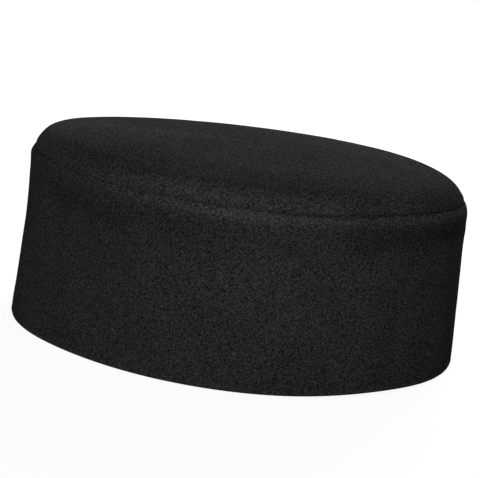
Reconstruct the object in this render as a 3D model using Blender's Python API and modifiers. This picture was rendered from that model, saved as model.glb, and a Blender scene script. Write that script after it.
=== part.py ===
"""Wool kufi cap: an oval pillbox cap of thick black wool cloth, standing on its rim.

Origin: middle of the rim's plane. +Z is up, -Y is the front of the head, +Y is the back.
Two bodies: side_band is the upright side with its hem and its seam allowance, and crown_top is
the slightly domed top with its rolled edge and its own seam allowance.
"""

import math

import bmesh
import bpy

MM = 0.001

# Plan of the cap at the rim, outside of the cloth
RIM_LENGTH = 198.0 * MM
RIM_WIDTH = 186.0 * MM
STEPS_ROUND = 72

# Heights
SEAM_HEIGHT = 70.5 * MM
DOME_RISE = 3.6 * MM

# Cloth
CLOTH = 1.5 * MM
SEAM_GAP = 0.3 * MM
HEM_HEIGHT = 12.0 * MM
HEM_EDGE = 1.0 * MM
ALLOWANCE = 8.5 * MM
ALLOWANCE_STEP = 1.5 * MM
END_ROUND = 0.5 * MM
# Share of SEAM_HEIGHT over which the swells of the top fade out down the side
SWELL_FOOT = 0.6

# Side of the band
TAPER = 3.1 * MM
SHOULDER_INSET = 1.5 * MM
SHOULDER_HEIGHT = 3.4 * MM
UNDERCUT = 0.45 * MM
UNDERCUT_DROP = 6.5 * MM
UNDERCUT_REACH = 3.2 * MM
# Drop below the seam over which the section's rows stand close together
FINE_DROP = 11.5 * MM
TUCK_IN = 1.2 * MM
TUCK_DROP = 2.6 * MM

# Rolled edge of the crown. A power of 2 is an even curve, and more is squarer.
ROLL_HEIGHT = 8.9 * MM
ROLL_WIDTH = 11.0 * MM
ROLL_POWER = 2.2

# Rows of a section nearer together than this are one row
NEAREST_ROWS = 0.02 * MM

# Counts along the section
WALL_ROWS = 7
TOP_WALL_ROWS = 7
SHOULDER_ROWS = 5
TUCK_ROWS = 4
ROUND_ROWS = 3
DOME_ROWS = 5
ROLL_ROWS = 6

COLLECTION = "wool_kufi_cap"

# Soft dents and swells of the side: a row for each. side is the angle in the plan from +X and
# reach_side is in degrees, height and reach_height are shares of SEAM_HEIGHT, and out is the push
# away from the middle as a share of CLOTH.
DENT_COLUMNS = ("name", "side", "height", "reach_side", "reach_height", "out")
DENTS = [
    ("back_corner", 128, 1.00, 36, 0.16, 1.1),
    ("back_foot", 136, 0.02, 18, 0.35, 1.65),
    ("front_corner", -68, 1.10, 30, 0.10, -0.6),
    ("front_shoulder", -68, 0.97, 26, 0.08, 0.8),
    ("near_ridge", -160, 0.965, 30, 0.03, 0.3),
    ("under_ridge", -170, 0.90, 22, 0.05, -0.45),
    ("under_front", -92, 0.895, 18, 0.055, -0.45),
    ("slack_fold", 146, 0.80, 13, 0.12, -0.6),
    ("slack_swell", 160, 0.62, 15, 0.20, 0.4),
]

# Rises and falls of the top: a row for each. side is the angle in the plan from +X, place is a
# share of the way from the middle to the edge, reach is a share of the half width, and up is the
# push as a share of CLOTH.
SWELL_COLUMNS = ("name", "side", "place", "reach", "up")
SWELLS = [
    ("back_rise", 118, 0.80, 0.55, 1.4),
    ("front_fall", -66, 0.92, 0.42, -1.0),
    ("near_hollow", -160, 0.45, 0.35, -0.35),
]

# Places where the rim stands a little off the floor: a row for each. side is the angle in the plan
# from +X, reach_side is in degrees, reach_height is a share of SEAM_HEIGHT, and up is the rise as
# a share of CLOTH.
LIFT_COLUMNS = ("name", "side", "reach_side", "reach_height", "up")
RIM_LIFTS = [
    ("near_rim", -122, 20, 0.35, 0.8),
]

HALF_LENGTH = RIM_LENGTH / 2
HALF_WIDTH = RIM_WIDTH / 2
MEAN_RADIUS = (HALF_LENGTH + HALF_WIDTH) / 2
SHOULDER_FOOT = SEAM_HEIGHT - SHOULDER_HEIGHT
SEAM_INSET = TAPER + SHOULDER_INSET
ALLOWANCE_FOOT = SEAM_HEIGHT - ALLOWANCE
CROWN_FOOT = ALLOWANCE_FOOT + ALLOWANCE_STEP
CROWN_INSET = SEAM_INSET + SEAM_GAP
CROWN_RADIUS = MEAN_RADIUS - CROWN_INSET


def clear_scene():
    for obj in list(bpy.data.objects):
        bpy.data.objects.remove(obj, do_unlink=True)


def share(count, ends=(0.0, 1.0)):
    """Even shares from the first end to the last, both included."""
    return [ends[0] + (ends[1] - ends[0]) * k / count for k in range(count + 1)]


def wall_inset(z):
    """Inset of the side's outer face from the rim's plan at height z, with the undercut."""
    lean = TAPER * min(z / SHOULDER_FOOT, 1.0)
    off = (z - (SEAM_HEIGHT - UNDERCUT_DROP)) / UNDERCUT_REACH
    return lean + UNDERCUT * math.exp(-off * off)


def slot_line(z):
    """Inset of the middle of the slot between the two allowances at height z."""
    down = min((SEAM_HEIGHT - z) / TUCK_DROP, 1.0)
    ease = down * down * (3.0 - 2.0 * down)
    return SEAM_INSET + SEAM_GAP / 2 + TUCK_IN * ease


def quarter(centre, half_in, half_up, start, end, rows):
    """Points of an elliptic arc about a centre, from one angle to another in degrees."""
    found = []
    for q in share(rows, (start, end)):
        turn = math.radians(q)
        found.append((centre[0] + half_in * math.cos(turn), centre[1] + half_up * math.sin(turn)))
    return found


def join_rows(parts):
    """One list of points from several, without the points that repeat the one before."""
    rows = []
    for part in parts:
        for point in part:
            if not rows or math.dist(rows[-1], point) > NEAREST_ROWS:
                rows.append(point)
    return rows


def band_section():
    """Closed section of the band as (inset, height), down its outer side and up its inner side."""
    slot_rows = [
        (slot_line(z) - SEAM_GAP / 2, z)
        for z in share(TUCK_ROWS, (SEAM_HEIGHT - TUCK_DROP, SEAM_HEIGHT))
    ]
    face = slot_rows[0][0]
    low = quarter((face - END_ROUND, ALLOWANCE_FOOT + END_ROUND), END_ROUND, END_ROUND, -90, 0, ROUND_ROWS)
    shoulder = []
    for q in share(SHOULDER_ROWS, (90.0, 0.0)):
        turn = math.radians(q)
        z = SHOULDER_FOOT + SHOULDER_HEIGHT * math.sin(turn)
        shoulder.append((wall_inset(z) + SHOULDER_INSET * (1.0 - math.cos(turn)), z))
    fine_foot = SEAM_HEIGHT - FINE_DROP
    top_wall = [(wall_inset(z), z) for z in share(TOP_WALL_ROWS, (SHOULDER_FOOT, fine_foot))[1:]]
    wall = [(wall_inset(z), z) for z in share(WALL_ROWS, (fine_foot, HEM_EDGE))[1:]]
    outer_edge = quarter((HEM_EDGE, HEM_EDGE), HEM_EDGE, HEM_EDGE, 180, 270, ROUND_ROWS)
    hem_face = 2.0 * CLOTH
    inner_edge = quarter((hem_face - HEM_EDGE, HEM_EDGE), HEM_EDGE, HEM_EDGE, 270, 360, ROUND_ROWS)
    hem = [(hem_face + wall_inset(z), z) for z in share(2, (HEM_EDGE, HEM_HEIGHT - END_ROUND))[1:]]
    hem_top = wall_inset(HEM_HEIGHT) + hem_face
    hem_end = quarter((hem_top - END_ROUND, HEM_HEIGHT - END_ROUND), END_ROUND, END_ROUND, 0, 90, ROUND_ROWS)
    inner = [(wall_inset(z) + CLOTH, z) for z in share(WALL_ROWS, (HEM_HEIGHT, ALLOWANCE_FOOT))]
    return join_rows([low, slot_rows, shoulder, top_wall, wall, outer_edge, inner_edge, hem, hem_end, inner])


def crown_height(inset, start, width, high):
    """Height of the crown at an inset, for a rolled edge that starts at a place with a width and a height."""
    over = 1.0 - min((inset - start) / width, 1.0)
    far = (MEAN_RADIUS - inset) / CROWN_RADIUS
    rise = high * (1.0 - over ** ROLL_POWER) ** (1.0 / ROLL_POWER)
    return SEAM_HEIGHT + rise + DOME_RISE * (1.0 - far * far)


def crown_section():
    """Section of the crown as (inset, height), from the middle of the top round to the inside."""
    flat = CROWN_RADIUS - ROLL_WIDTH
    bends = [1.0 - math.cos(math.radians(q)) for q in share(ROLL_ROWS, (90.0, 0.0))]
    insets = [MEAN_RADIUS - flat * s for s in share(DOME_ROWS)]
    insets += [CROWN_INSET + ROLL_WIDTH * b for b in bends]
    outer = [(inset, crown_height(inset, CROWN_INSET, ROLL_WIDTH, ROLL_HEIGHT)) for inset in insets]
    slot_rows = [
        (slot_line(z) + SEAM_GAP / 2, z)
        for z in share(TUCK_ROWS, (SEAM_HEIGHT, SEAM_HEIGHT - TUCK_DROP))[1:]
    ]
    face = slot_rows[-1][0]
    low_out = quarter((face + END_ROUND, CROWN_FOOT + END_ROUND), END_ROUND, END_ROUND, 180, 270, ROUND_ROWS)
    inside = face + CLOTH
    low_in = quarter((inside - END_ROUND, CROWN_FOOT + END_ROUND), END_ROUND, END_ROUND, 270, 360, ROUND_ROWS)
    wide = CROWN_INSET + ROLL_WIDTH - inside
    bends = [1.0 - math.cos(math.radians(q)) for q in share(ROLL_ROWS, (0.0, 90.0))]
    insets = [inside + wide * b for b in bends]
    insets += [MEAN_RADIUS - flat * s for s in share(DOME_ROWS, (1.0, 0.0))]
    inner = [(inset, crown_height(inset, inside, wide, ROLL_HEIGHT - CLOTH)) for inset in insets]
    return join_rows([outer, slot_rows, low_out, low_in, inner])


def bell(off):
    return math.exp(-off * off)


def turn_between(a, b):
    """Smallest angle in degrees from b to a."""
    return (a - b + 180.0) % 360.0 - 180.0


def named(columns, rows):
    """Rows of a table as dictionaries keyed by its columns."""
    return [dict(zip(columns, row)) for row in rows]


def side_push(side, height):
    """Push away from the middle that the dents give at an angle and a share of the height."""
    push = 0.0
    for row in named(DENT_COLUMNS, DENTS):
        round_off = turn_between(side, row["side"]) / row["reach_side"]
        up_off = (height - row["height"]) / row["reach_height"]
        push += row["out"] * CLOTH * bell(round_off) * bell(up_off)
    return push


def top_lift(across, along):
    """Rise that the swells give at a place of the turned shape, as shares of its radius."""
    lift = 0.0
    for row in named(SWELL_COLUMNS, SWELLS):
        turn = math.radians(row["side"])
        away = math.hypot(across - row["place"] * math.cos(turn), along - row["place"] * math.sin(turn))
        lift += row["up"] * CLOTH * bell(away / row["reach"])
    return lift


def rim_lift(side, height):
    """Rise of the side near the rim at an angle and a share of the height."""
    lift = 0.0
    for row in named(LIFT_COLUMNS, RIM_LIFTS):
        round_off = turn_between(side, row["side"]) / row["reach_side"]
        lift += row["up"] * CLOTH * bell(round_off) * bell(height / row["reach_height"])
    return lift


def warp(point):
    """Oval plan, dents of the side and swells of the top for one point of the turned shape."""
    x, y, z = point
    side = math.degrees(math.atan2(y, x))
    height = z / SEAM_HEIGHT
    edge = min(math.hypot(x, y) / MEAN_RADIUS, 1.0)
    push = 1.0 + side_push(side, height) * edge * edge / MEAN_RADIUS
    above = min(max((height - SWELL_FOOT) / (1.0 - SWELL_FOOT), 0.0), 1.0)
    lift = above * top_lift(x / MEAN_RADIUS, y / MEAN_RADIUS) + rim_lift(side, height)
    return (x * push * HALF_WIDTH / MEAN_RADIUS, y * push * HALF_LENGTH / MEAN_RADIUS, z + lift)


def wool(name, grey, rough):
    material = bpy.data.materials.new(name)
    material.use_nodes = True
    shader = material.node_tree.nodes["Principled BSDF"]
    shader.inputs["Base Color"].default_value = (grey, grey, grey, 1.0)
    shader.inputs["Roughness"].default_value = rough
    return material


def turned_piece(name, section, closed, material, home):
    """Body turned from a section of (inset, height) rows, then given the cap's oval plan."""
    line = bpy.data.meshes.new(name + "_line")
    points = [(MEAN_RADIUS - inset, 0.0, height) for inset, height in section]
    edges = [(k, k + 1) for k in range(len(points) - 1)]
    if closed:
        edges.append((len(points) - 1, 0))
    line.from_pydata(points, edges, [])
    turner = bpy.data.objects.new(name + "_turner", line)
    home.objects.link(turner)
    screw = turner.modifiers.new("turn", "SCREW")
    screw.axis = "Z"
    screw.angle = math.tau
    screw.steps = STEPS_ROUND
    screw.render_steps = STEPS_ROUND
    screw.use_merge_vertices = True
    screw.merge_threshold = 0.00001
    bpy.context.view_layer.update()
    turned = turner.evaluated_get(bpy.context.evaluated_depsgraph_get())
    mesh = bpy.data.meshes.new_from_object(turned)
    mesh.name = name
    bpy.data.objects.remove(turner, do_unlink=True)
    for vertex in mesh.vertices:
        vertex.co = warp(vertex.co)
    form = bmesh.new()
    form.from_mesh(mesh)
    bmesh.ops.recalc_face_normals(form, faces=form.faces)
    form.to_mesh(mesh)
    form.free()
    piece = bpy.data.objects.new(name, mesh)
    home.objects.link(piece)
    mesh.materials.clear()
    mesh.materials.append(material)
    mesh.polygons.foreach_set("use_smooth", [True] * len(mesh.polygons))
    return piece


def main():
    clear_scene()
    home = bpy.data.collections.new(COLLECTION)
    bpy.context.scene.collection.children.link(home)
    turned_piece("side_band", band_section(), True, wool("band_wool", 0.014, 0.95), home)
    turned_piece("crown_top", crown_section(), False, wool("crown_wool", 0.015, 0.95), home)


main()
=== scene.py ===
"""Wool kufi cap: the visual model of an oval pillbox cap of black felted wool, on a plain pale stage.

The cap stands on its rim with its middle at the origin. +Z is up, -Y is the front of the head and
+Y is the back. Each cloth is one closed wall, turned ring by ring from its section, then given the
oval plan and the soft dents of a cap that has been worn and set down.
"""

import math

import bpy
import numpy as np
from mathutils import Matrix, Vector, noise


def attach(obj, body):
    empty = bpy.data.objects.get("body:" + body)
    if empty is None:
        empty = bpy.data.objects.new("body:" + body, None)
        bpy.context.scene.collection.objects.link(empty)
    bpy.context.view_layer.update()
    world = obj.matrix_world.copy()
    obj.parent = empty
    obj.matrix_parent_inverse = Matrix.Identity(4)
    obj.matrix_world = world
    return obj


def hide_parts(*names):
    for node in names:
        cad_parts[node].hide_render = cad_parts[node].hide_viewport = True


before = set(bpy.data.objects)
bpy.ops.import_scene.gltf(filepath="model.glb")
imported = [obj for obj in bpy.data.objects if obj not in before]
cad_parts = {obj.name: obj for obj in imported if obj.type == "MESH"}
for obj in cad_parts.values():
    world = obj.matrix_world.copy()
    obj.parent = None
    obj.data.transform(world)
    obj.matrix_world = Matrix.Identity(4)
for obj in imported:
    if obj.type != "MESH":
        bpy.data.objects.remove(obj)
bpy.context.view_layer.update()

bl_info = {
    "name": "Wool Kufi Cap",
    "version": (1, 0, 0),
    "blender": (4, 5, 0),
    "location": "View3D > Sidebar > Cap",
    "description": "Builds an oval pillbox cap of black felted wool and a plain stage for it",
    "category": "Add Mesh",
}

MM = 0.001

# Section of the two cloths, as in the solids
SEAM_GAP = 0.25 * MM
HEM_EDGE = 1.0 * MM
ALLOWANCE = 8.5 * MM
ALLOWANCE_STEP = 1.5 * MM
END_ROUND = 0.5 * MM
SHOULDER_INSET = 1.5 * MM
SHOULDER_HEIGHT = 3.4 * MM
UNDERCUT_DROP = 6.5 * MM
UNDERCUT_REACH = 3.2 * MM
FINE_DROP = 11.5 * MM
TUCK_IN = 1.2 * MM
TUCK_DROP = 2.6 * MM
ROLL_HEIGHT = 8.9 * MM
ROLL_WIDTH = 11.0 * MM
ROLL_POWER = 2.2
SWELL_FOOT = 0.6
NEAREST_ROWS = 0.02 * MM

# Rows along the section and steps round the cap
STEPS_ROUND = 480
WALL_ROWS = 46
TOP_WALL_ROWS = 10
SHOULDER_ROWS = 9
TUCK_ROWS = 5
ROUND_ROWS = 3
INNER_ROWS = 22
DOME_ROWS = 48
INNER_DOME_ROWS = 20
ROLL_ROWS = 18
INNER_ROLL_ROWS = 9
HEM_ROWS = 6

# Unevenness of the cloth: how wide its waves are, how strong, and a number that sets them apart. The
# puckers stand upright along the seam, and the waves die away towards the floor.
BROAD_WAVES = (26 * MM, 0.30, 1)
SMALL_WAVES = (11 * MM, 0.12, 2)
SEAM_PUCKERS = (4.5 * MM, 0.16, 3)
PUCKER_UPRIGHT = 0.3
PUCKER_REACH = 4.5 * MM
PUCKER_DEPTH = 0.12
WAVE_STEPS = (3.7, 1.9, 5.3)
RIM_HELD = 4 * MM

# Felt: the noises of its curl, fibres, clumps and slow shade, how far each counts, and its finish
BAND_GRAIN = 1900.0
CROWN_GRAIN = 1950.0
FIBRE_STRETCH = 0.5
CURL_NOISE = {"Scale": 420.0, "Detail": 2.0}
CURL_REACH = 0.0016
STRAND_NOISE = {"Detail": 1.0, "Roughness": 0.6}
THIRD_STRAND = 0.6
CLUMP_NOISE = {"Scale": 1100.0, "Detail": 2.0, "Roughness": 0.6}
CLUMP_SHARE = 0.5
FLECK_RANGE = {"From Min": 0.95, "From Max": 1.35}
SHADE_NOISE = {"Scale": 55.0, "Detail": 3.0, "Roughness": 0.55}
SHADE_RANGE = {"From Min": 0.3, "From Max": 0.7, "To Min": 0.92, "To Max": 1.08}
STRAND_TURNS = ((0.4, 0.2, 0.9), (1.5, 0.7, -0.5), (0.9, 1.9, 2.3))
NAP_STRENGTH = 0.9
WOOL_ROUGHNESS = 0.95
BLOOM_ROUGHNESS = 0.5

# Stage: the floor, what the camera sees of it, and the middle of the picture from the cap's middle
WHITE = (1.0, 1.0, 1.0, 1.0)
FLOOR_SIDES = 96
FLOOR_RADIUS = 1.1
FLOOR_DROP = 0.2 * MM
FLOOR_GLOW = 1.15
FLOOR_GLOW_SHARE = 0.8
FLOOR_ROUGHNESS = 0.9
SEEN_WHITE = 1.05
AIM_RIGHT = -0.55 * MM
AIM_UP = 3.71 * MM
SENSOR_WIDTH = 36.0
SIGHT = (0.01, 100.0)

# Lights: each stands at an angle round from the camera, to its right, and at a rise, in degrees
LIGHT_DISTANCE = 1.5
LIGHT_SIZE = 0.8
LIGHT_COLUMNS = ("name", "aside", "rise")
LIGHTS = [
    ("key_light", -20.0, 17.0),
    ("fill_light", 10.0, 15.0),
    ("top_light", 10.0, 70.0),
    ("back_light", 167.0, 22.0),
]

# Soft dents and swells of the side: a row for each. side is the angle in the plan from +X and
# reach_side is in degrees, height and reach_height are shares of the seam's height, with the crown
# above 1, and out is the push away from the middle as a share of the cloth's thickness.
DENT_COLUMNS = ("name", "side", "height", "reach_side", "reach_height", "out")
DENTS = [
    ("back_corner", 128, 1.00, 36, 0.16, 1.1),
    ("back_foot", 136, 0.02, 18, 0.35, 1.65),
    ("back_edge", 112, 1.07, 28, 0.035, -0.3),
    ("back_side", 112, 0.80, 30, 0.20, 0.3),
    ("back_lip", 112, 1.0, 30, 0.028, -0.34),
    ("back_fill", 112, 0.91, 30, 0.035, 0.17),
    ("front_corner", -68, 1.10, 30, 0.10, -1.35),
    ("front_lip", -68, 0.965, 24, 0.035, -0.3),
    ("front_shoulder", -68, 0.92, 26, 0.14, 0.38),
    ("front_full", -66, 0.905, 18, 0.045, 0.65),
    ("front_fill", -68, 0.845, 22, 0.035, 0.25),
    ("near_ridge", -162, 0.955, 26, 0.035, 0.4),
    ("front_ridge", -106, 0.95, 24, 0.036, 0.4),
    ("under_ridge", -176, 0.895, 24, 0.045, -0.8),
    ("under_front", -102, 0.868, 20, 0.042, -0.75),
    ("slack_fold", 146, 0.80, 13, 0.12, -0.6),
    ("slack_swell", 160, 0.62, 15, 0.20, 0.4),
]

# Where the crown alone closes up to the band or bulges out over the seam, with the same columns.
CROWN_DENTS = [
    ("back_close", 142, 0.985, 50, 0.06, 0.15),
    ("front_close", -70, 0.985, 20, 0.06, 0.14),
    ("back_bulge", 112, 1.015, 28, 0.02, 0.12),
    ("front_bulge", -76, 1.025, 26, 0.02, 0.25),
]

# Rises and falls of the top: side is the angle in the plan from +X, place is a share of the way
# from the middle to the edge, reach is a share of the half width, and up is a share of the cloth.
SWELL_COLUMNS = ("name", "side", "place", "reach", "up")
SWELLS = [
    ("back_rise", 118, 0.80, 0.55, 1.4),
    ("front_fall", -66, 0.92, 0.42, -0.5),
    ("near_hollow", -160, 0.45, 0.35, -0.35),
]

# Stretches of the top's edge that lie lower or higher, with reach_side in degrees round the plan.
EDGE_COLUMNS = ("name", "side", "reach_side", "place", "reach", "up")
EDGE_SWELLS = [
    ("near_edge", -158, 75, 0.845, 0.12, -1.0),
    ("front_edge", -113, 24, 1.00, 0.30, 0.9),
]

# Places where the rim stands a little off the floor, with up as a share of the cloth.
LIFT_COLUMNS = ("name", "side", "reach_side", "reach_height", "up")
RIM_LIFTS = [
    ("near_rim", -122, 20, 0.35, 0.8),
]

# Soft creases of the side, from one end to the other: sides are angles in the plan, heights are
# shares of the seam's height, width is in millimetres, and out is a share of the cloth.
CREASE_COLUMNS = ("name", "side_a", "height_a", "side_b", "height_b", "width", "out")
CREASES = [
    ("slack_upper", 141, 0.86, 149, 0.75, 3.2, -0.35),
    ("slack_lower", 155, 0.84, 170, 0.74, 3.6, -0.55),
    ("slack_ridge", 150, 0.90, 163, 0.86, 4.0, 0.22),
    ("back_join", 90, 0.02, 90, 0.93, 1.0, -0.3),
]

# Painted highlight and painted shade in the cloth's colour: paler on the ridges and rolls that face the
# lights, darker in the undercuts, the seam's valley and other shaded places. Sides are angles in the
# plan, heights are shares of the seam's height, and amount is 1 where it is palest and below 0 where it
# is darker.
PAINTED_LIGHT_COLUMNS = ("name", "side", "height", "reach_side", "reach_height", "amount")
BAND_PAINTED_LIGHT = [
    ("near_ridge", -161, 0.955, 22, 0.042, 1.0),
    ("front_ridge", -108, 0.973, 32, 0.024, 0.32),
    ("under_ridge", -182, 0.84, 24, 0.08, -0.22),
    ("under_front", -103, 0.862, 22, 0.055, -0.38),
    ("under_middle", -132, 0.87, 12, 0.06, -0.22),
    ("slack_shade", 152, 0.86, 16, 0.08, -0.15),
    ("near_side", -152, 0.58, 22, 0.27, 0.18),
    ("front_side", -92, 0.50, 22, 0.50, -0.13),
    ("front_foot", -86, 0.05, 16, 0.18, -0.22),
    ("near_valley", -120, 1.0, 32, 0.006, -0.3),
]
# Painted highlight and painted shade on the top's rolls and edges.
CROWN_PAINTED_LIGHT = [
    ("near_roll", -178, 1.05, 20, 0.05, 0.35),
    ("front_roll", -150, 1.035, 18, 0.035, 0.40),
    ("back_roll", 114, 1.10, 22, 0.09, 0.4),
    ("back_shade", 160, 1.09, 14, 0.05, -0.25),
    ("front_shade", -84, 1.09, 16, 0.06, -0.2),
    ("near_brink", -158, 1.133, 70, 0.014, -0.24),
    ("near_valley", -120, 1.0, 32, 0.009, -0.3),
    ("far_front", -20, 1.145, 45, 0.02, 0.2),
]


def share(count, ends=(0.0, 1.0)):
    """Even shares from the first end to the last, both included."""
    return [ends[0] + (ends[1] - ends[0]) * k / count for k in range(count + 1)]


def quarter(centre, half_in, half_up, start, end, rows):
    """Points of an elliptic arc about a centre, from one angle to another in degrees."""
    found = []
    for q in share(rows, (start, end)):
        turn = math.radians(q)
        found.append((centre[0] + half_in * math.cos(turn), centre[1] + half_up * math.sin(turn)))
    return found


def join_rows(parts):
    """One list of points from several, without the points that repeat the one before."""
    rows = []
    for part in parts:
        for point in part:
            if not rows or math.dist(rows[-1], point) > NEAREST_ROWS:
                rows.append(point)
    return rows


def mean_radius(sizes):
    """Radius of the round shape that is turned first and then stretched to the oval plan."""
    return (sizes.rim_length + sizes.rim_width) / 4


def wall_inset(sizes, z):
    """Inset of the side's outer face from the rim's plan at height z, with the undercut."""
    lean = sizes.taper * min(z / (sizes.seam_height - SHOULDER_HEIGHT), 1.0)
    off = (z - (sizes.seam_height - UNDERCUT_DROP)) / UNDERCUT_REACH
    return lean + sizes.undercut * math.exp(-off * off)


def slot_line(sizes, z):
    """Inset of the middle of the slot between the two allowances at height z."""
    down = min((sizes.seam_height - z) / TUCK_DROP, 1.0)
    ease = down * down * (3.0 - 2.0 * down)
    return sizes.taper + SHOULDER_INSET + SEAM_GAP / 2 + TUCK_IN * ease


def band_section(sizes):
    """Closed section of the band as (inset, height), down its outer side and up its inner side."""
    seam, cloth = sizes.seam_height, sizes.cloth
    foot = seam - ALLOWANCE
    tuck = share(TUCK_ROWS, (seam - TUCK_DROP, seam))
    slot = [(slot_line(sizes, z) - SEAM_GAP / 2, z) for z in tuck]
    face = slot[0][0]
    end = quarter((face - END_ROUND, foot + END_ROUND), END_ROUND, END_ROUND, -90, 0, ROUND_ROWS)
    shoulder = []
    for q in share(SHOULDER_ROWS, (90.0, 0.0)):
        turn = math.radians(q)
        z = seam - SHOULDER_HEIGHT + SHOULDER_HEIGHT * math.sin(turn)
        shoulder.append((wall_inset(sizes, z) + SHOULDER_INSET * (1.0 - math.cos(turn)), z))
    low = seam - FINE_DROP
    heights = share(TOP_WALL_ROWS, (seam - SHOULDER_HEIGHT, low))[1:]
    heights += share(WALL_ROWS, (low, HEM_EDGE))[1:]
    wall = [(wall_inset(sizes, z), z) for z in heights]
    outer_edge = quarter((HEM_EDGE, HEM_EDGE), HEM_EDGE, HEM_EDGE, 180, 270, ROUND_ROWS)
    inner_edge = quarter((2 * cloth - HEM_EDGE, HEM_EDGE), HEM_EDGE, HEM_EDGE, 270, 360, ROUND_ROWS)
    hem_turn = sizes.hem_height - END_ROUND
    hem = [(2 * cloth + wall_inset(sizes, z), z) for z in share(HEM_ROWS, (HEM_EDGE, hem_turn))[1:]]
    hem_top = wall_inset(sizes, sizes.hem_height) + 2 * cloth
    hem_end = quarter((hem_top - END_ROUND, hem_turn), END_ROUND, END_ROUND, 0, 90, ROUND_ROWS)
    inner = [(wall_inset(sizes, z) + cloth, z) for z in share(INNER_ROWS, (sizes.hem_height, foot))]
    return join_rows([end, slot, shoulder, wall, outer_edge, inner_edge, hem, hem_end, inner])


def crown_height(sizes, inset, start, width, high):
    """Height of the crown at an inset, for a rolled edge with this start, width and height."""
    over = 1.0 - min((inset - start) / width, 1.0)
    middle = mean_radius(sizes)
    far = (middle - inset) / (middle - sizes.taper - SHOULDER_INSET - SEAM_GAP)
    rise = high * (1.0 - over ** ROLL_POWER) ** (1.0 / ROLL_POWER)
    return sizes.seam_height + rise + sizes.dome * (1.0 - far * far)


def crown_section(sizes):
    """Section of the crown as (inset, height), from near the middle of the top to the inside."""
    seam, cloth, middle = sizes.seam_height, sizes.cloth, mean_radius(sizes)
    start = sizes.taper + SHOULDER_INSET + SEAM_GAP
    flat = middle - start - ROLL_WIDTH
    foot = seam - ALLOWANCE + ALLOWANCE_STEP
    near = 1.0 / DOME_ROWS
    bends = [1.0 - math.cos(math.radians(q)) for q in share(ROLL_ROWS, (90.0, 0.0))]
    insets = [middle - flat * s for s in share(DOME_ROWS - 1, (near, 1.0))]
    insets += [start + ROLL_WIDTH * b for b in bends]
    outer = [(inset, crown_height(sizes, inset, start, ROLL_WIDTH, ROLL_HEIGHT)) for inset in insets]
    tuck = share(TUCK_ROWS, (seam, seam - TUCK_DROP))[1:]
    slot = [(slot_line(sizes, z) + SEAM_GAP / 2, z) for z in tuck]
    face = slot[-1][0]
    inside = face + cloth
    rise = foot + END_ROUND
    outer_end = quarter((face + END_ROUND, rise), END_ROUND, END_ROUND, 180, 270, ROUND_ROWS)
    inner_end = quarter((inside - END_ROUND, rise), END_ROUND, END_ROUND, 270, 360, ROUND_ROWS)
    wide = start + ROLL_WIDTH - inside
    bends = [1.0 - math.cos(math.radians(q)) for q in share(INNER_ROLL_ROWS, (0.0, 90.0))]
    insets = [inside + wide * b for b in bends]
    insets += [middle - flat * s for s in share(INNER_DOME_ROWS, (1.0, near))]
    inner = [(inset, crown_height(sizes, inset, inside, wide, ROLL_HEIGHT - cloth)) for inset in insets]
    return join_rows([outer, slot, outer_end, inner_end, inner])


def start_clean():
    """Leaves edit mode and selects nothing, so that the next operator acts on its own piece alone."""
    if bpy.context.mode != "OBJECT":
        bpy.ops.object.mode_set(mode="OBJECT")
    bpy.ops.object.select_all(action="DESELECT")


def next_ring(radius, before, row, previous):
    """Extrudes the selected ring to the next row of a section and widens or narrows it."""
    bpy.ops.mesh.extrude_edges_move(TRANSFORM_OT_translate={"value": (0.0, 0.0, row[1] - previous[1])})
    change = (radius - row[0]) / before
    bpy.ops.transform.resize(value=(change, change, 1.0), center_override=(0.0, 0.0, 0.0))
    return before * change


def turned_cloth(name, rows, radius, has_poles):
    """A closed wall of cloth, extruded ring by ring along its section about the cap's middle."""
    start_clean()
    first = rows[0]
    fill = "TRIFAN" if has_poles else "NOTHING"
    bpy.ops.mesh.primitive_circle_add(
        vertices=STEPS_ROUND, radius=radius - first[0], fill_type=fill, location=(0.0, 0.0, first[1])
    )
    piece = bpy.context.object
    piece.name = name
    piece.data.name = name
    bpy.ops.object.transform_apply(location=True, rotation=True, scale=True)
    bpy.ops.object.mode_set(mode="EDIT")
    bpy.ops.mesh.select_mode(type="EDGE")
    bpy.ops.mesh.select_all(action="SELECT")
    if has_poles:
        bpy.ops.mesh.region_to_loop()
    at = radius - first[0]
    for previous, row in zip(rows, rows[1:]):
        at = next_ring(radius, at, row, previous)
    if has_poles:
        bpy.ops.mesh.extrude_edges_move(TRANSFORM_OT_translate={"value": (0.0, 0.0, 0.0)})
        bpy.ops.mesh.merge(type="CENTER")
    else:
        next_ring(radius, at, first, rows[-1])
    bpy.ops.mesh.select_all(action="SELECT")
    bpy.ops.mesh.remove_doubles(threshold=NEAREST_ROWS / 4)
    bpy.ops.mesh.normals_make_consistent(inside=False)
    bpy.ops.object.mode_set(mode="OBJECT")
    bpy.ops.object.shade_smooth()
    return piece


def named(columns, rows):
    """Rows of a table as dictionaries keyed by its columns."""
    return [dict(zip(columns, row)) for row in rows]


def turn_between(a, b):
    """Smallest angle in degrees from b to a, for arrays."""
    return (a - b + 180.0) % 360.0 - 180.0


def bell(off):
    """1 at no distance, falling smoothly to 0, for arrays of distances as shares of a reach."""
    return np.exp(-off * off)


def patch(row, side, height):
    """Strength at places of the side of a row that has its middle at a side and a height."""
    round_off = turn_between(side, row["side"]) / row["reach_side"]
    up_off = (height - row["height"]) / row["reach_height"]
    return bell(round_off) * bell(up_off)


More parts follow.
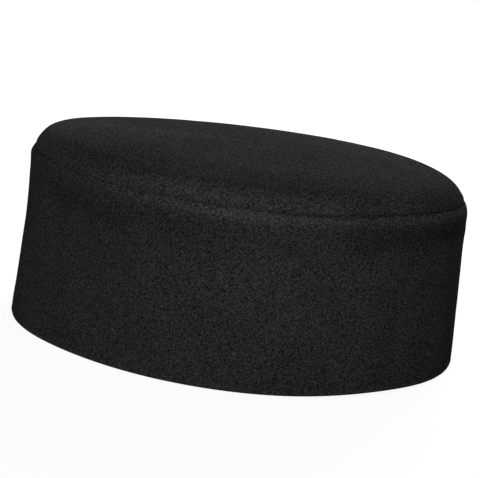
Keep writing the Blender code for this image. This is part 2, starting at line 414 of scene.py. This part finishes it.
def side_push(rows, side, height, sizes):
    """Push away from the middle that rows of dents and the creases give, for arrays of places."""
    push = np.zeros_like(side)
    for row in named(DENT_COLUMNS, rows):
        push += row["out"] * sizes.cloth * patch(row, side, height)
    degree = math.radians(1.0) * mean_radius(sizes)
    for row in named(CREASE_COLUMNS, CREASES):
        width = row["width"] * MM
        along_x = turn_between(side, row["side_a"]) * degree
        along_z = (height - row["height_a"]) * sizes.seam_height
        run_x = (row["side_b"] - row["side_a"]) * degree
        run_z = (row["height_b"] - row["height_a"]) * sizes.seam_height
        length = math.hypot(run_x, run_z)
        along = (along_x * run_x + along_z * run_z) / length
        across = (along_x * run_z - along_z * run_x) / length
        past = np.maximum(np.maximum(-along, along - length), 0.0)
        push += row["out"] * sizes.cloth * bell(across / width) * bell(past / width)
    return push


def top_lift(across, along, sizes):
    """Rise that the swells give at places of the turned shape, as shares of its radius."""
    lift = np.zeros_like(across)
    for row in named(SWELL_COLUMNS, SWELLS):
        turn = math.radians(row["side"])
        away = np.hypot(across - row["place"] * math.cos(turn), along - row["place"] * math.sin(turn))
        lift += row["up"] * sizes.cloth * bell(away / row["reach"])
    side, place = np.degrees(np.arctan2(along, across)), np.hypot(across, along)
    for row in named(EDGE_COLUMNS, EDGE_SWELLS):
        round_off = turn_between(side, row["side"]) / row["reach_side"]
        lift += row["up"] * sizes.cloth * bell(round_off) * bell((place - row["place"]) / row["reach"])
    return lift


def rim_lift(side, height, sizes):
    """Rise of the side near the rim, for arrays of places."""
    lift = np.zeros_like(side)
    for row in named(LIFT_COLUMNS, RIM_LIFTS):
        round_off = turn_between(side, row["side"]) / row["reach_side"]
        lift += row["up"] * sizes.cloth * bell(round_off) * bell(height / row["reach_height"])
    return lift


def soft_noise(points, size, strength, number):
    """Smooth waves at each point, about this many metres across. The number sets them apart."""
    shift = Vector(WAVE_STEPS) * number
    waves = [noise.noise(Vector(p) / size + shift, noise_basis="PERLIN_NEW") for p in points]
    return np.array(waves) * strength


def painted_light_and_shade(rows, side, height):
    """Painted highlight (above 0) and painted shade (below 0) for the colour, for arrays of places."""
    shading = np.zeros_like(side)
    for row in named(PAINTED_LIGHT_COLUMNS, rows):
        shading += row["amount"] * patch(row, side, height)
    return shading


def settle(piece, sizes, dent_rows, light_rows):
    """Gives a turned cloth the oval plan, its dents and creases and its slight unevenness, and stores
    its painted highlight and painted shade.
    """
    mesh = piece.data
    flat = np.empty(len(mesh.vertices) * 3)
    mesh.vertices.foreach_get("co", flat)
    turned = flat.reshape(-1, 3)
    x, y, z = turned.T
    radius = mean_radius(sizes)
    side = np.degrees(np.arctan2(y, x))
    height = z / sizes.seam_height
    edge = np.minimum(np.hypot(x, y) / radius, 1.0)
    above = np.clip((height - SWELL_FOOT) / (1.0 - SWELL_FOOT), 0.0, 1.0)
    off_rim = np.clip(z / RIM_HELD, 0.0, 1.0)
    broad = soft_noise(turned, *BROAD_WAVES) + soft_noise(turned, *SMALL_WAVES)
    near_seam = bell((z - sizes.seam_height) / PUCKER_REACH) * bell((edge - 1.0) / PUCKER_DEPTH)
    pucker = soft_noise(turned * (1.0, 1.0, PUCKER_UPRIGHT), *SEAM_PUCKERS) * near_seam
    loose = (broad * off_rim + pucker) * sizes.unevenness
    push = 1.0 + (side_push(dent_rows, side, height, sizes) + loose) * edge * edge / radius
    lift = above * top_lift(x / radius, y / radius, sizes) + rim_lift(side, height, sizes)
    lift += loose * (1.0 - edge * edge) * off_rim
    wide, long = sizes.rim_width / 2 / radius, sizes.rim_length / 2 / radius
    settled = np.stack([x * push * wide, y * push * long, z + lift], axis=1)
    mesh.vertices.foreach_set("co", settled.ravel())
    # Painted highlight and painted shade, stored at each point for the material to make the colour
    # paler or darker.
    shading = mesh.attributes.new("painted_light_and_shade", "FLOAT", "POINT")
    shading.data.foreach_set("value", painted_light_and_shade(light_rows, side, height))
    mesh.update()


def socket(group, name, kind, default=None, output=False):
    """A named input or output of a shader group."""
    way = "OUTPUT" if output else "INPUT"
    made = group.interface.new_socket(name=name, in_out=way, socket_type=kind)
    if default is not None:
        made.default_value = default
    return made


def add_node(tree, kind, place, **settings):
    """A node of a tree with its settings, and the values of its inputs by name."""
    node = tree.nodes.new(kind)
    node.location = place
    values = settings.pop("values", {})
    for key, value in settings.items():
        setattr(node, key, value)
    for key, value in values.items():
        node.inputs[key].default_value = value
    return node


def felt_strand(group, source, place, index, turn):
    """Fine streaks of fibres that lie one way, from the group's input and a place bent by the curl."""
    link = group.links.new
    down = -320 * index
    stretch = add_node(group, "ShaderNodeCombineXYZ", (-640, 240 + down), values={"Y": 1.0, "Z": 1.0})
    link(source.outputs["Fibre Stretch"], stretch.inputs["X"])
    turned = add_node(group, "ShaderNodeMapping", (-440, 300 + down), values={"Rotation": turn})
    link(place, turned.inputs["Vector"])
    link(stretch.outputs[0], turned.inputs["Scale"])
    strand = add_node(group, "ShaderNodeTexNoise", (-220, 300 + down), values=STRAND_NOISE)
    link(turned.outputs[0], strand.inputs["Vector"])
    link(source.outputs["Grain"], strand.inputs["Scale"])
    return strand.outputs["Fac"]


def felt_grain_group():
    """Shader group of felted wool: matted fibres as height, flecks that catch light, and slow shade."""
    found = bpy.data.node_groups.get("felt_grain")
    if found:
        return found
    group = bpy.data.node_groups.new("felt_grain", "ShaderNodeTree")
    socket(group, "Place", "NodeSocketVector")
    socket(group, "Grain", "NodeSocketFloat", BAND_GRAIN)
    socket(group, "Fibre Stretch", "NodeSocketFloat", FIBRE_STRETCH)
    socket(group, "Height", "NodeSocketFloat", output=True)
    socket(group, "Fleck", "NodeSocketFloat", output=True)
    socket(group, "Shade", "NodeSocketFloat", output=True)
    link = group.links.new
    start = add_node(group, "NodeGroupInput", (-1400, 0))
    end = add_node(group, "NodeGroupOutput", (900, 0))

    bend = add_node(group, "ShaderNodeTexNoise", (-1200, -300), values=CURL_NOISE)
    link(start.outputs["Place"], bend.inputs["Vector"])
    centre = add_node(group, "ShaderNodeVectorMath", (-1000, -300), operation="SUBTRACT")
    centre.inputs[1].default_value = (0.5, 0.5, 0.5)
    link(bend.outputs["Color"], centre.inputs[0])
    shrink = add_node(group, "ShaderNodeVectorMath", (-820, -300), operation="SCALE")
    shrink.inputs["Scale"].default_value = CURL_REACH
    link(centre.outputs[0], shrink.inputs[0])
    curly = add_node(group, "ShaderNodeVectorMath", (-640, -200), operation="ADD")
    link(start.outputs["Place"], curly.inputs[0])
    link(shrink.outputs[0], curly.inputs[1])

    strands = []
    for index, turn in enumerate(STRAND_TURNS):
        strands.append(felt_strand(group, start, curly.outputs[0], index, turn))
    most = add_node(group, "ShaderNodeMath", (0, 200), operation="MAXIMUM")
    link(strands[0], most.inputs[0])
    link(strands[1], most.inputs[1])
    matted = add_node(group, "ShaderNodeMath", (180, 100), operation="MULTIPLY_ADD")
    matted.inputs[1].default_value = THIRD_STRAND
    link(strands[2], matted.inputs[0])
    link(most.outputs[0], matted.inputs[2])
    clumps = add_node(group, "ShaderNodeTexNoise", (-220, -700), values=CLUMP_NOISE)
    link(curly.outputs[0], clumps.inputs["Vector"])
    total = add_node(group, "ShaderNodeMath", (360, 0), operation="MULTIPLY_ADD")
    total.inputs[1].default_value = CLUMP_SHARE
    link(clumps.outputs["Fac"], total.inputs[0])
    link(matted.outputs[0], total.inputs[2])
    link(total.outputs[0], end.inputs["Height"])

    fleck = add_node(group, "ShaderNodeMapRange", (540, -120), values=FLECK_RANGE)
    link(total.outputs[0], fleck.inputs["Value"])
    link(fleck.outputs["Result"], end.inputs["Fleck"])
    slow = add_node(group, "ShaderNodeTexNoise", (-220, -980), values=SHADE_NOISE)
    link(start.outputs["Place"], slow.inputs["Vector"])
    link(slow.outputs["Fac"], end.inputs["Shade"])
    return group


def wool_material(name, look, grain):
    """Felted wool cloth: dark, matt and finely matted, with a soft bloom of short fibres."""
    material = bpy.data.materials.new(name)
    material.use_nodes = True
    tree = material.node_tree
    link = tree.links.new
    shader = tree.nodes["Principled BSDF"]
    place = add_node(tree, "ShaderNodeTexCoord", (-900, 0))
    felt = add_node(tree, "ShaderNodeGroup", (-700, 0), node_tree=felt_grain_group())
    felt.inputs["Grain"].default_value = grain
    link(place.outputs["Object"], felt.inputs["Place"])

    dye = add_node(tree, "ShaderNodeMix", (-450, 200), data_type="RGBA")
    dye.inputs["A"].default_value = (*look.deep_colour, 1.0)
    dye.inputs["B"].default_value = (*look.fleck_colour, 1.0)
    link(felt.outputs["Fleck"], dye.inputs["Factor"])
    worn = add_node(tree, "ShaderNodeMapRange", (-450, -60), values=SHADE_RANGE)
    link(felt.outputs["Shade"], worn.inputs["Value"])
    colour = add_node(tree, "ShaderNodeVectorMath", (-240, 120), operation="SCALE")
    link(dye.outputs["Result"], colour.inputs[0])
    link(worn.outputs["Result"], colour.inputs["Scale"])

    # Painted highlight and painted shade: the stored attribute makes the colour paler where the lights
    # fall and darker where shade lies.
    lit = add_node(tree, "ShaderNodeAttribute", (-900, 420), attribute_name="painted_light_and_shade")
    paler = add_node(tree, "ShaderNodeMath", (-640, 420), operation="MULTIPLY_ADD")
    paler.inputs[1].default_value = look.painted_light_strength
    paler.inputs[2].default_value = 1.0
    link(lit.outputs["Fac"], paler.inputs[0])
    lit_colour = add_node(tree, "ShaderNodeVectorMath", (-60, 240), operation="SCALE")
    link(colour.outputs[0], lit_colour.inputs[0])
    link(paler.outputs[0], lit_colour.inputs["Scale"])
    link(lit_colour.outputs[0], shader.inputs["Base Color"])

    bump = add_node(tree, "ShaderNodeBump", (-240, -240), values={"Strength": NAP_STRENGTH})
    bump.inputs["Distance"].default_value = look.nap_depth
    link(felt.outputs["Height"], bump.inputs["Height"])
    link(bump.outputs["Normal"], shader.inputs["Normal"])
    shader.inputs["Roughness"].default_value = WOOL_ROUGHNESS
    shader.inputs["Specular IOR Level"].default_value = 0.0
    shader.inputs["Sheen Weight"].default_value = look.bloom
    shader.inputs["Sheen Roughness"].default_value = BLOOM_ROUGHNESS
    shader.inputs["Sheen Tint"].default_value = WHITE
    return material


def dress(piece, material, slot, *nodes):
    """Gives a finished piece its material and its body, and hides the solids that it stands for. The
    slot is not used.
    """
    piece.data.materials.clear()
    piece.data.materials.append(material)
    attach(piece, "root")
    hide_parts(*nodes)


class CapSizes(bpy.types.PropertyGroup):
    """Sizes of the cap"""

    rim_length: bpy.props.FloatProperty(
        name="Rim Length", description="Outside of the rim from front to back",
        default=0.198, unit="LENGTH"
    )
    rim_width: bpy.props.FloatProperty(
        name="Rim Width", description="Outside of the rim from side to side",
        default=0.186, unit="LENGTH"
    )
    seam_height: bpy.props.FloatProperty(
        name="Seam Height", description="Height of the seam round the top",
        default=0.0705, unit="LENGTH"
    )
    dome: bpy.props.FloatProperty(
        name="Dome", description="Rise of the top's middle over its edge",
        default=0.0036, unit="LENGTH"
    )
    cloth: bpy.props.FloatProperty(
        name="Cloth", description="Thickness of the wool cloth", default=0.0015, unit="LENGTH"
    )
    hem_height: bpy.props.FloatProperty(
        name="Hem Height", description="Height of the hem turned up inside the rim",
        default=0.012, unit="LENGTH"
    )
    taper: bpy.props.FloatProperty(
        name="Taper", description="How far the side leans in from the rim to the shoulder",
        default=0.0031, unit="LENGTH"
    )
    undercut: bpy.props.FloatProperty(
        name="Undercut", description="Depth of the soft hollow below the shoulder",
        default=0.00045, unit="LENGTH"
    )
    unevenness: bpy.props.FloatProperty(
        name="Unevenness", description="How far the cloth strays from its even shape",
        default=0.001, unit="LENGTH"
    )


class CapLook(bpy.types.PropertyGroup):
    """Colours and matted surface of the wool, and the strength of its painted highlight and shade"""

    deep_colour: bpy.props.FloatVectorProperty(
        name="Deep Colour", description="Colour between the fibres",
        subtype="COLOR", default=(0.006, 0.006, 0.006)
    )
    fleck_colour: bpy.props.FloatVectorProperty(
        name="Fleck Colour", description="Colour of the fibres on top",
        subtype="COLOR", default=(0.044, 0.044, 0.044)
    )
    nap_depth: bpy.props.FloatProperty(
        name="Nap Depth", description="Depth of the matted surface", default=0.0005, unit="LENGTH"
    )
    # Strength of the painted highlight and painted shade in the colour.
    painted_light_strength: bpy.props.FloatProperty(
        name="Painted Light", description="How much paler the nap is where it is rubbed up",
        default=0.9, subtype="FACTOR"
    )
    bloom: bpy.props.FloatProperty(
        name="Bloom", description="Strength of the soft sheen of the short fibres",
        default=0.003, subtype="FACTOR"
    )


class CapStage(bpy.types.PropertyGroup):
    """Floor, lights and camera"""

    floor_colour: bpy.props.FloatVectorProperty(
        name="Floor Colour", description="Colour of the plain floor",
        subtype="COLOR", default=(0.45, 0.45, 0.45)
    )
    azimuth: bpy.props.FloatProperty(
        name="Azimuth", description="Direction of the camera round the cap",
        default=math.radians(-70.0), subtype="ANGLE"
    )
    elevation: bpy.props.FloatProperty(
        name="Elevation", description="Height of the camera as an angle",
        subtype="ANGLE", default=math.radians(12.312)
    )
    roll: bpy.props.FloatProperty(
        name="Roll", description="Turn of the picture, right side down",
        subtype="ANGLE", default=math.radians(6.84)
    )
    distance: bpy.props.FloatProperty(
        name="Distance", description="Distance from the camera to the cap",
        default=0.5367, unit="LENGTH"
    )
    lens: bpy.props.FloatProperty(
        name="Lens", description="Focal length in millimetres", default=89.9, unit="CAMERA"
    )
    key_light: bpy.props.FloatProperty(
        name="Key Light", description="Strength of the large light at the left",
        default=0.42, min=0.0
    )
    fill_light: bpy.props.FloatProperty(
        name="Fill Light", description="Strength of the low light beside the camera",
        default=0.18, min=0.0
    )
    top_light: bpy.props.FloatProperty(
        name="Top Light", description="Strength of the light over the cap", default=0.33, min=0.0
    )
    back_light: bpy.props.FloatProperty(
        name="Back Light", description="Strength of the light behind the cap", default=2.15, min=0.0
    )
    room_light: bpy.props.FloatProperty(
        name="Room Light", description="Strength of the even light of the room",
        default=0.06, subtype="FACTOR"
    )


class OBJECT_OT_cap_band(bpy.types.Operator):
    """Builds the upright side of the cap with its hem and seam allowance"""

    bl_idname = "object.cap_band"
    bl_label = "Build Side Band"

    def execute(self, context):
        sizes = context.scene.cap_sizes
        piece = turned_cloth("band_cloth", band_section(sizes), mean_radius(sizes), False)
        settle(piece, sizes, DENTS, BAND_PAINTED_LIGHT)
        cloth = wool_material("band_wool_cloth", context.scene.cap_look, BAND_GRAIN)
        dress(piece, cloth, "band_wool", "side_band")
        return {"FINISHED"}


class OBJECT_OT_cap_crown(bpy.types.Operator):
    """Builds the top of the cap with its rolled edge and seam allowance"""

    bl_idname = "object.cap_crown"
    bl_label = "Build Crown"

    def execute(self, context):
        sizes = context.scene.cap_sizes
        piece = turned_cloth("crown_cloth", crown_section(sizes), mean_radius(sizes), True)
        settle(piece, sizes, DENTS + CROWN_DENTS, CROWN_PAINTED_LIGHT)
        cloth = wool_material("crown_wool_cloth", context.scene.cap_look, CROWN_GRAIN)
        dress(piece, cloth, "crown_wool", "crown_top")
        return {"FINISHED"}


def picture_axes(stage):
    """Directions from the cap to the camera, to the picture's right and to its top, roll included."""
    turn, rise = stage.azimuth, stage.elevation
    back = Vector((math.sin(turn) * math.cos(rise), -math.cos(turn) * math.cos(rise), math.sin(rise)))
    level = Vector((math.cos(turn), math.sin(turn), 0.0))
    up = back.cross(level)
    right = level * math.cos(stage.roll) + up * math.sin(stage.roll)
    top = up * math.cos(stage.roll) - level * math.sin(stage.roll)
    return back, right, top


def soft_light(row, stage, aim):
    """A large square light, at an angle round from the camera and an angle above the floor."""
    start_clean()
    turn, lift = stage.azimuth + math.radians(row["aside"]), math.radians(row["rise"])
    away = Vector((math.sin(turn) * math.cos(lift), -math.cos(turn) * math.cos(lift), math.sin(lift)))
    bpy.ops.object.light_add(type="AREA", location=aim + away * LIGHT_DISTANCE)
    light = bpy.context.object
    light.name = row["name"]
    light.data.shape = "SQUARE"
    light.data.size = LIGHT_SIZE
    light.data.energy = getattr(stage, row["name"]) * (math.pi * LIGHT_DISTANCE) ** 2
    light.rotation_euler = (-away).to_track_quat("-Z", "Y").to_euler()
    light.visible_camera = False


def white_room(strength):
    """Even light of the room, which the camera sees as plain white."""
    world = bpy.context.scene.world or bpy.data.worlds.new("room")
    bpy.context.scene.world = world
    world.use_nodes = True
    tree = world.node_tree
    tree.nodes.clear()
    out = add_node(tree, "ShaderNodeOutputWorld", (400, 0))
    mix = add_node(tree, "ShaderNodeMixShader", (200, 0))
    ray = add_node(tree, "ShaderNodeLightPath", (0, 240))
    glow, shown = {"Color": WHITE, "Strength": strength}, {"Color": WHITE, "Strength": SEEN_WHITE}
    light = add_node(tree, "ShaderNodeBackground", (0, 0), values=glow)
    seen = add_node(tree, "ShaderNodeBackground", (0, -160), values=shown)
    tree.links.new(ray.outputs["Is Camera Ray"], mix.inputs[0])
    tree.links.new(light.outputs[0], mix.inputs[1])
    tree.links.new(seen.outputs[0], mix.inputs[2])
    tree.links.new(mix.outputs[0], out.inputs["Surface"])


def floor_paint(colour):
    """Pale paint that the camera sees as almost white, with a faint shadow."""
    paint = bpy.data.materials.new("pale_floor")
    paint.use_nodes = True
    tree = paint.node_tree
    coat = tree.nodes["Principled BSDF"]
    coat.inputs["Base Color"].default_value = (*colour, 1.0)
    coat.inputs["Roughness"].default_value = FLOOR_ROUGHNESS
    coat.inputs["Specular IOR Level"].default_value = 0.0
    shown = {"Color": WHITE, "Strength": FLOOR_GLOW}
    glow = add_node(tree, "ShaderNodeEmission", (0, -400), values=shown)
    ray = add_node(tree, "ShaderNodeLightPath", (0, 400))
    part = add_node(tree, "ShaderNodeMath", (200, 300), operation="MULTIPLY")
    part.inputs[1].default_value = FLOOR_GLOW_SHARE
    mix = add_node(tree, "ShaderNodeMixShader", (400, 0))
    tree.links.new(ray.outputs["Is Camera Ray"], part.inputs[0])
    tree.links.new(part.outputs[0], mix.inputs[0])
    tree.links.new(coat.outputs[0], mix.inputs[1])
    tree.links.new(glow.outputs[0], mix.inputs[2])
    tree.links.new(mix.outputs[0], tree.nodes["Material Output"].inputs["Surface"])
    return paint


class OBJECT_OT_cap_stage(bpy.types.Operator):
    """Sets the plain floor, the soft lights and the camera"""

    bl_idname = "object.cap_stage"
    bl_label = "Build Stage"

    def execute(self, context):
        stage, sizes = context.scene.cap_stage, context.scene.cap_sizes
        start_clean()
        bpy.ops.mesh.primitive_circle_add(
            vertices=FLOOR_SIDES, radius=FLOOR_RADIUS, fill_type="NGON",
            location=(0.0, 0.0, -FLOOR_DROP)
        )
        floor = bpy.context.object
        floor.name = "floor"
        bpy.ops.object.transform_apply(location=True)
        floor.data.materials.append(floor_paint(stage.floor_colour))
        white_room(stage.room_light)

        back, right, top = picture_axes(stage)
        middle = Vector((0.0, 0.0, sizes.seam_height / 2))
        for row in named(LIGHT_COLUMNS, LIGHTS):
            soft_light(row, stage, middle)

        aim = middle + right * AIM_RIGHT + top * AIM_UP
        bpy.ops.object.camera_add(location=aim + back * stage.distance)
        camera = bpy.context.object
        camera.name = "photo_camera"
        camera.data.lens = stage.lens
        camera.data.sensor_fit = "HORIZONTAL"
        camera.data.sensor_width = SENSOR_WIDTH
        camera.data.clip_start, camera.data.clip_end = SIGHT
        camera.rotation_euler = Matrix((right, top, back)).transposed().to_euler()
        context.scene.camera = camera
        context.scene.view_settings.view_transform = "Standard"
        return {"FINISHED"}


class VIEW3D_PT_cap(bpy.types.Panel):
    """Sizes, colours and steps of the cap"""

    bl_label = "Wool Kufi Cap"
    bl_space_type = "VIEW_3D"
    bl_region_type = "UI"
    bl_category = "Cap"

    def draw(self, context):
        layout = self.layout
        for owner in (context.scene.cap_sizes, context.scene.cap_look, context.scene.cap_stage):
            box = layout.box()
            box.label(text=owner.bl_rna.description)
            for key in owner.__annotations__:
                box.prop(owner, key)
        for operator in (OBJECT_OT_cap_band, OBJECT_OT_cap_crown, OBJECT_OT_cap_stage):
            layout.operator(operator.bl_idname)


CLASSES = (
    CapSizes, CapLook, CapStage,
    OBJECT_OT_cap_band, OBJECT_OT_cap_crown, OBJECT_OT_cap_stage,
    VIEW3D_PT_cap,
)


def register():
    """Adds the cap's classes to Blender and its settings to the scene."""
    for item in CLASSES:
        bpy.utils.register_class(item)
    bpy.types.Scene.cap_sizes = bpy.props.PointerProperty(type=CapSizes)
    bpy.types.Scene.cap_look = bpy.props.PointerProperty(type=CapLook)
    bpy.types.Scene.cap_stage = bpy.props.PointerProperty(type=CapStage)


def unregister():
    """Takes the cap's settings and classes out again."""
    del bpy.types.Scene.cap_stage
    del bpy.types.Scene.cap_look
    del bpy.types.Scene.cap_sizes
    for item in reversed(CLASSES):
        bpy.utils.unregister_class(item)


def main():
    """Builds the cap and its stage."""
    register()
    bpy.ops.object.cap_band()
    bpy.ops.object.cap_crown()
    bpy.ops.object.cap_stage()


if __name__ == "__main__":
    main()
